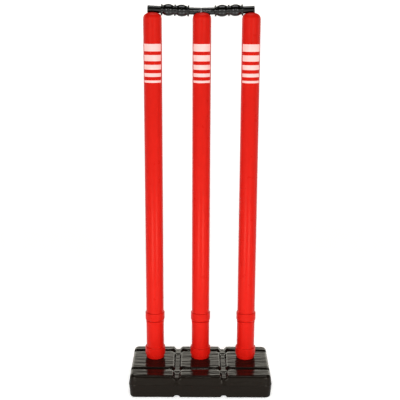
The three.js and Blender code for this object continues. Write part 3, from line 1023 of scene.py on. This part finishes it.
class STUMPS_OT_stumps(bpy.types.Operator):
    """Makes the three stumps, each a tube pressed into a foot"""

    bl_idname = "stumps.stumps"
    bl_label = "Stumps"

    def execute(self, context):
        sizes = context.scene.stumps_stumps
        # Injection-moulded red polypropylene: smooth, waxy gloss with broad highlights
        warm = (1, 0.6, 0.45)
        look = {"spread": 0.03, "specular": 0.12, "grain": mm(1.2), "height": mm(0.006), "tint": warm}
        tube_red = plastic("red_moulded_polypropylene", sizes.tube_colour, rough=0.3, **look)
        foot_red = plastic("red_foot_polypropylene", sizes.foot_colour, rough=0.32, **look)
        for side in SIDES:
            tube = add_piece(f"tube_{side}", *tube_mesh(sizes), tube_red, stump_place(side))
            settle(tube, f"stump_{side}", "stump_plastic", f"stump_tube_{side}")
            foot = add_piece(f"foot_{side}", *foot_mesh(sizes), foot_red, stump_place(side))
            settle(foot, f"stump_{side}", "stump_plastic", f"stump_foot_{side}")
        return {"FINISHED"}


def bar_tree(material):
    """Geometry Nodes that lay printed bars round a tube, each narrower than the one above."""
    tree = bpy.data.node_groups.new("printed_bars", "GeometryNodeTree")
    tree.interface.new_socket("Geometry", in_out="OUTPUT", socket_type="NodeSocketGeometry")
    for name in ("Count", "Radius", "Ink", "Sweep", "Top", "Width", "Step", "Gap"):
        kind = "NodeSocketInt" if name == "Count" else "NodeSocketFloat"
        tree.interface.new_socket(name, in_out="INPUT", socket_type=kind)
    given = add_node(tree, "NodeGroupInput").outputs

    def node(kind, values=None):
        return add_node(tree, kind, values).outputs[0]

    def find(operation, *values):
        return calculated(tree, operation, *values)

    index = node("GeometryNodeInputIndex")
    width = find("SUBTRACT", given["Width"], find("MULTIPLY", given["Step"], index))
    pairs = find("MULTIPLY", index, find("SUBTRACT", index, 1.0))
    saved = find("MULTIPLY", find("MULTIPLY", pairs, 0.5), given["Step"])
    pitch = find("ADD", given["Width"], given["Gap"])
    drop = find("SUBTRACT", find("MULTIPLY", index, pitch), saved)
    centre = find("SUBTRACT", find("SUBTRACT", given["Top"], drop), find("MULTIPLY", width, 0.5))
    spots = node("GeometryNodeMeshLine", {"Count": given["Count"]})
    height = node("ShaderNodeCombineXYZ", {"Z": centre})
    placed = node("GeometryNodeSetPosition", {"Geometry": spots, "Position": height})
    start = find("SUBTRACT", -math.pi / 2, find("MULTIPLY", given["Sweep"], 0.5))
    sweep = {"Start Angle": start, "Sweep Angle": given["Sweep"]}
    arc = node("GeometryNodeCurveArc", {"Resolution": BAR_STEPS, "Radius": given["Radius"], **sweep})
    section = node("GeometryNodeCurvePrimitiveQuadrilateral", {"Width": given["Ink"], "Height": 1.0})
    bar = node("GeometryNodeCurveToMesh", {"Curve": arc, "Profile Curve": section, "Fill Caps": True})
    stretch = node("ShaderNodeCombineXYZ", {"X": 1.0, "Y": 1.0, "Z": width})
    bars = node("GeometryNodeInstanceOnPoints", {"Points": placed, "Instance": bar, "Scale": stretch})
    real = node("GeometryNodeRealizeInstances", {"Geometry": bars})
    inked = node("GeometryNodeSetMaterial", {"Geometry": real, "Material": material})
    add_node(tree, "NodeGroupOutput", {"Geometry": inked})
    return tree


class STUMPS_OT_printed_bars(bpy.types.Operator):
    """Prints the plain pale bars near the top of each stump"""

    bl_idname = "stumps.printed_bars"
    bl_label = "Printed bars"

    def execute(self, context):
        sizes = context.scene.stumps_stumps
        # Screen-printed ink: thin and a little translucent, so the red warms it to a pale pink
        look = {"rough": 0.4, "spread": 0.05, "specular": 0.4, "grain": mm(0.8), "height": mm(0.01)}
        ink = plastic("screen_print_ink", sizes.print_colour, **look)
        tree = bar_tree(ink)
        keys = {item.name: item.identifier for item in tree.interface.items_tree if item.in_out == "INPUT"}
        values = {
            "Count": sizes.bar_count,
            "Radius": sizes.radius + sizes.bar_ink / 2 - INK_SINK,
            "Ink": sizes.bar_ink,
            "Sweep": sizes.bar_sweep,
            "Top": STUMP_TOP - sizes.bar_top,
            "Width": sizes.bar_width,
            "Step": sizes.bar_step,
            "Gap": sizes.bar_gap,
        }
        for side in SIDES:
            bars = linked(f"printed_bars_{side}", bpy.data.meshes.new("bars"))
            modifier = bars.modifiers.new("bars", "NODES")
            modifier.node_group = tree
            for name, value in values.items():
                modifier[keys[name]] = value
            bars.data = plain_mesh(bars)
            bars.data.transform(stump_place(side))
            settle(bars, f"stump_{side}", None)
        return {"FINISHED"}


# Bails


def bead(start, end, valley, crown, steps=18):
    """An arc that swells from a valley to a crown and back, as (radius, along) points."""
    half, rise = (end - start) / 2, crown - valley
    arc = (half * half + rise * rise) / (2 * rise)
    offs = [half * (2 * step / steps - 1) for step in range(steps + 1)]
    return [(crown - arc + math.sqrt(arc * arc - off * off), start + half + off) for off in offs]


def half_bail(s, barrel_end, spigot):
    """Outline of half a bail, from a tip to its middle, as (radius, distance from the middle) points."""
    tip = barrel_end + spigot + s.tip_reach
    flange_end = barrel_end - s.flange_width
    half_ring = s.ring_width / 2
    end = [
        (0, tip),
        (s.tip_radius, tip, s.tip_round),
        (s.root_radius, barrel_end, s.edge_round / 2),
        (s.flange_radius, barrel_end, s.edge_round),
        (s.flange_radius, flange_end, s.edge_round),
        (s.valley_radius, flange_end),
    ]
    swell = bead(flange_end - s.valley_width, half_ring + s.valley_width, s.valley_radius, s.bead_radius)
    ring = [(s.valley_radius, half_ring), (s.ring_radius, half_ring, s.edge_round), (s.ring_radius, 0)]
    return rounded_path(*end) + swell + rounded_path(*ring)[:-1]


def bail_path(s, bail_length):
    """Outline of a turned bail as (radius, along) points, from its long spigot's tip."""
    barrel_end = (bail_length - s.long_spigot - s.short_spigot) / 2
    middle = s.long_spigot + barrel_end
    path = [(radius, middle - off) for radius, off in half_bail(s, barrel_end, s.long_spigot)]
    path += [(radius, middle + off) for radius, off in reversed(half_bail(s, barrel_end, s.short_spigot))]
    return path


def turned_axis(node):
    """Left end, direction and length of a turned piece's axis, from its solid in the frame."""
    places = np.array([tuple(vertex.co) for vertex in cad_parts[node].data.vertices])
    middle = places.mean(axis=0)
    direction = np.linalg.eigh(np.cov((places - middle).T))[1][:, -1]
    direction = direction if direction[0] > 0 else -direction
    along = (places - middle) @ direction
    return Vector(middle + direction * along.min()), Vector(direction), float(np.ptp(along))


class STUMPS_OT_bails(bpy.types.Operator):
    """Makes the two turned bails where the frame lays them"""

    bl_idname = "stumps.bails"
    bl_label = "Bails"

    def execute(self, context):
        sizes = context.scene.stumps_bails
        # Moulded black polystyrene: hard and very glossy, so each bead carries small bright highlights
        look = {"rough": 0.07, "spread": 0.02, "specular": 0.38, "grain": mm(1.5), "height": mm(0.006)}
        black = plastic("black_moulded_polystyrene", sizes.colour, **look)
        for side in OUTER_SIDES:
            tip, direction, bail_length = turned_axis(f"bail_{side}")
            place = Matrix.Translation(tip) @ direction.to_track_quat("Z", "Y").to_matrix().to_4x4()
            path = bail_path(sizes, bail_length)
            bail = add_piece(f"turned_bail_{side}", *revolve(path, sizes.segments), black, place)
            settle(bail, f"bail_{side}", "bail_plastic", f"bail_{side}")
        return {"FINISHED"}


# Stage

# Where the screen's sides and top and the walls' top fade, as parts of a unit direction
SCREEN_SIDES = (0.3, 0.8)
SCREEN_TOP = (0.38, 0.54)
WALL_TOP = (0.14, 0.3)
# Distances from the stumps between which the floor's glow changes
GLOW_REACH = (0.4, 3.0)
# What the lights face
WICKET = (0, 0, STUMP_TOP / 2)
BASE_FRONT = (0, 0, 0.08)
GROUND = (0, 0, 0)
# Each light's power setting, place, target and size in metres
LIGHTS = {
    "left_softbox": ("key_power", (-0.8, -1.6, 1.0), WICKET, (0.4, 0.6)),
    "left_low_light": ("low_power", (-0.3, -0.58, 0.12), BASE_FRONT, (0.22, 0.12)),
    "right_softbox": ("key_power", (0.8, -1.6, 1.0), WICKET, (0.4, 0.6)),
    "right_low_light": ("low_power", (0.3, -0.58, 0.12), BASE_FRONT, (0.22, 0.12)),
    "front_softbox": ("front_power", (0, -1.7, 1.25), WICKET, (0.1, 0.1)),
    "top_softbox": ("top_power", (0, 0, 2.3), GROUND, (1.3, 0.9)),
}
SENSOR_WIDTH = 36


def area_light(name, power, place, target, size):
    """A soft rectangular light that faces the target."""
    data = bpy.data.lights.new(name, "AREA")
    data.shape = "RECTANGLE"
    data.size, data.size_y = size
    data.energy = power
    light = linked(name, data)
    light.location = place
    light.visible_camera = False
    light.rotation_euler = (Vector(target) - Vector(place)).to_track_quat("-Z", "Y").to_euler()


def fade(tree, value, start, end, low=0.0, high=1.0):
    """A soft step from low to high, as the value goes from start to end."""
    return mapped(tree, value, start, end, low, high, interpolation_type="SMOOTHSTEP")


def studio_world(stage):
    """Studio surroundings: a dim room with pale walls, and a bright screen behind the stumps."""
    world = bpy.data.worlds.new("studio")
    world.use_nodes = True
    tree = world.node_tree
    way = add_node(tree, "ShaderNodeTexCoord").outputs["Generated"]
    parts = add_node(tree, "ShaderNodeSeparateXYZ", {"Vector": way}).outputs
    behind = fade(tree, parts["Y"], *SCREEN_SIDES)
    below_top = fade(tree, parts["Z"], *SCREEN_TOP, 1.0, 0.0)
    low_down = fade(tree, parts["Z"], *WALL_TOP, 1.0, 0.0)
    share = calculated(tree, "MULTIPLY", behind, below_top)
    screen = calculated(tree, "MULTIPLY_ADD", share, stage.screen, stage.room)
    light = calculated(tree, "MULTIPLY_ADD", low_down, stage.wall, screen)
    fill(tree.nodes["Background"], {"Strength": light, "Color": (*stage.wall_colour, 1)})
    return world


def paper_material(stage):
    """Pale matt paper that glows softly, more so further out."""
    material, tree, shader, place = new_material("pale_paper")
    distance = add_node(tree, "ShaderNodeVectorMath", {0: place}, operation="LENGTH").outputs["Value"]
    glow = fade(tree, distance, *GLOW_REACH, stage.floor_glow, stage.far_glow)
    fill(shader, {"Base Color": (*stage.floor_colour, 1), "Roughness": 0.9, "Specular IOR Level": 0.1})
    fill(shader, {"Emission Color": (1, 1, 1, 1), "Emission Strength": glow})
    return material


class STUMPS_OT_stage(bpy.types.Operator):
    """Makes the pale floor, the studio lights and the camera"""

    bl_idname = "stumps.stage"
    bl_label = "Stage"

    def execute(self, context):
        stage = context.scene.stumps_stage
        half = stage.floor_size / 2
        mesh = bpy.data.meshes.new("floor")
        corners = [(-half, -half, 0), (half, -half, 0), (half, half, 0), (-half, half, 0)]
        mesh.from_pydata(corners, [], [(0, 1, 2, 3)])
        mesh.materials.append(paper_material(stage))
        floor = linked("floor", mesh)

        context.scene.world = studio_world(stage)
        context.scene.view_settings.view_transform = "Standard"
        for name, (power, *shape) in LIGHTS.items():
            area_light(name, getattr(stage, power), *shape)

        data = bpy.data.cameras.new("camera")
        data.lens = stage.lens
        data.sensor_width = SENSOR_WIDTH
        camera = linked("camera", data)
        turn = Matrix.Rotation(-stage.camera_yaw, 4, "Z")
        turn @= Matrix.Rotation(math.pi / 2 - stage.camera_pitch, 4, "X")
        turn @= Matrix.Rotation(stage.camera_roll, 4, "Z")
        camera.matrix_world = Matrix.Translation(stage.camera_place) @ turn
        context.scene.camera = camera
        return {"FINISHED"}


class STUMPS_PT_panel(bpy.types.Panel):
    """Lists the operators in the order in which they are used"""

    bl_idname = "STUMPS_PT_panel"
    bl_label = "Cricket stumps"
    bl_space_type = "VIEW_3D"
    bl_region_type = "UI"
    bl_category = "Stumps"

    def draw(self, context):
        for operator in OPERATORS:
            self.layout.operator(operator.bl_idname)


OPERATORS = (
    STUMPS_OT_stage,
    STUMPS_OT_base,
    STUMPS_OT_ballast,
    STUMPS_OT_filler_plug,
    STUMPS_OT_stumps,
    STUMPS_OT_printed_bars,
    STUMPS_OT_bails,
)
SETTINGS = {
    "stumps_base": BaseSettings,
    "stumps_plug": PlugSettings,
    "stumps_stumps": StumpSettings,
    "stumps_bails": BailSettings,
    "stumps_stage": StageSettings,
}


def register():
    for name, group in SETTINGS.items():
        bpy.utils.register_class(group)
        setattr(bpy.types.Scene, name, PointerProperty(type=group))
    for made in (*OPERATORS, STUMPS_PT_panel):
        bpy.utils.register_class(made)


def unregister():
    for made in reversed((*OPERATORS, STUMPS_PT_panel)):
        bpy.utils.unregister_class(made)
    for name, group in SETTINGS.items():
        delattr(bpy.types.Scene, name)
        bpy.utils.unregister_class(group)


def main():
    """Makes the stage and every piece."""
    register()
    bpy.ops.stumps.stage()
    bpy.ops.stumps.base()
    bpy.ops.stumps.ballast()
    bpy.ops.stumps.filler_plug()
    bpy.ops.stumps.stumps()
    bpy.ops.stumps.printed_bars()
    bpy.ops.stumps.bails()


if __name__ == "__main__":
    main()
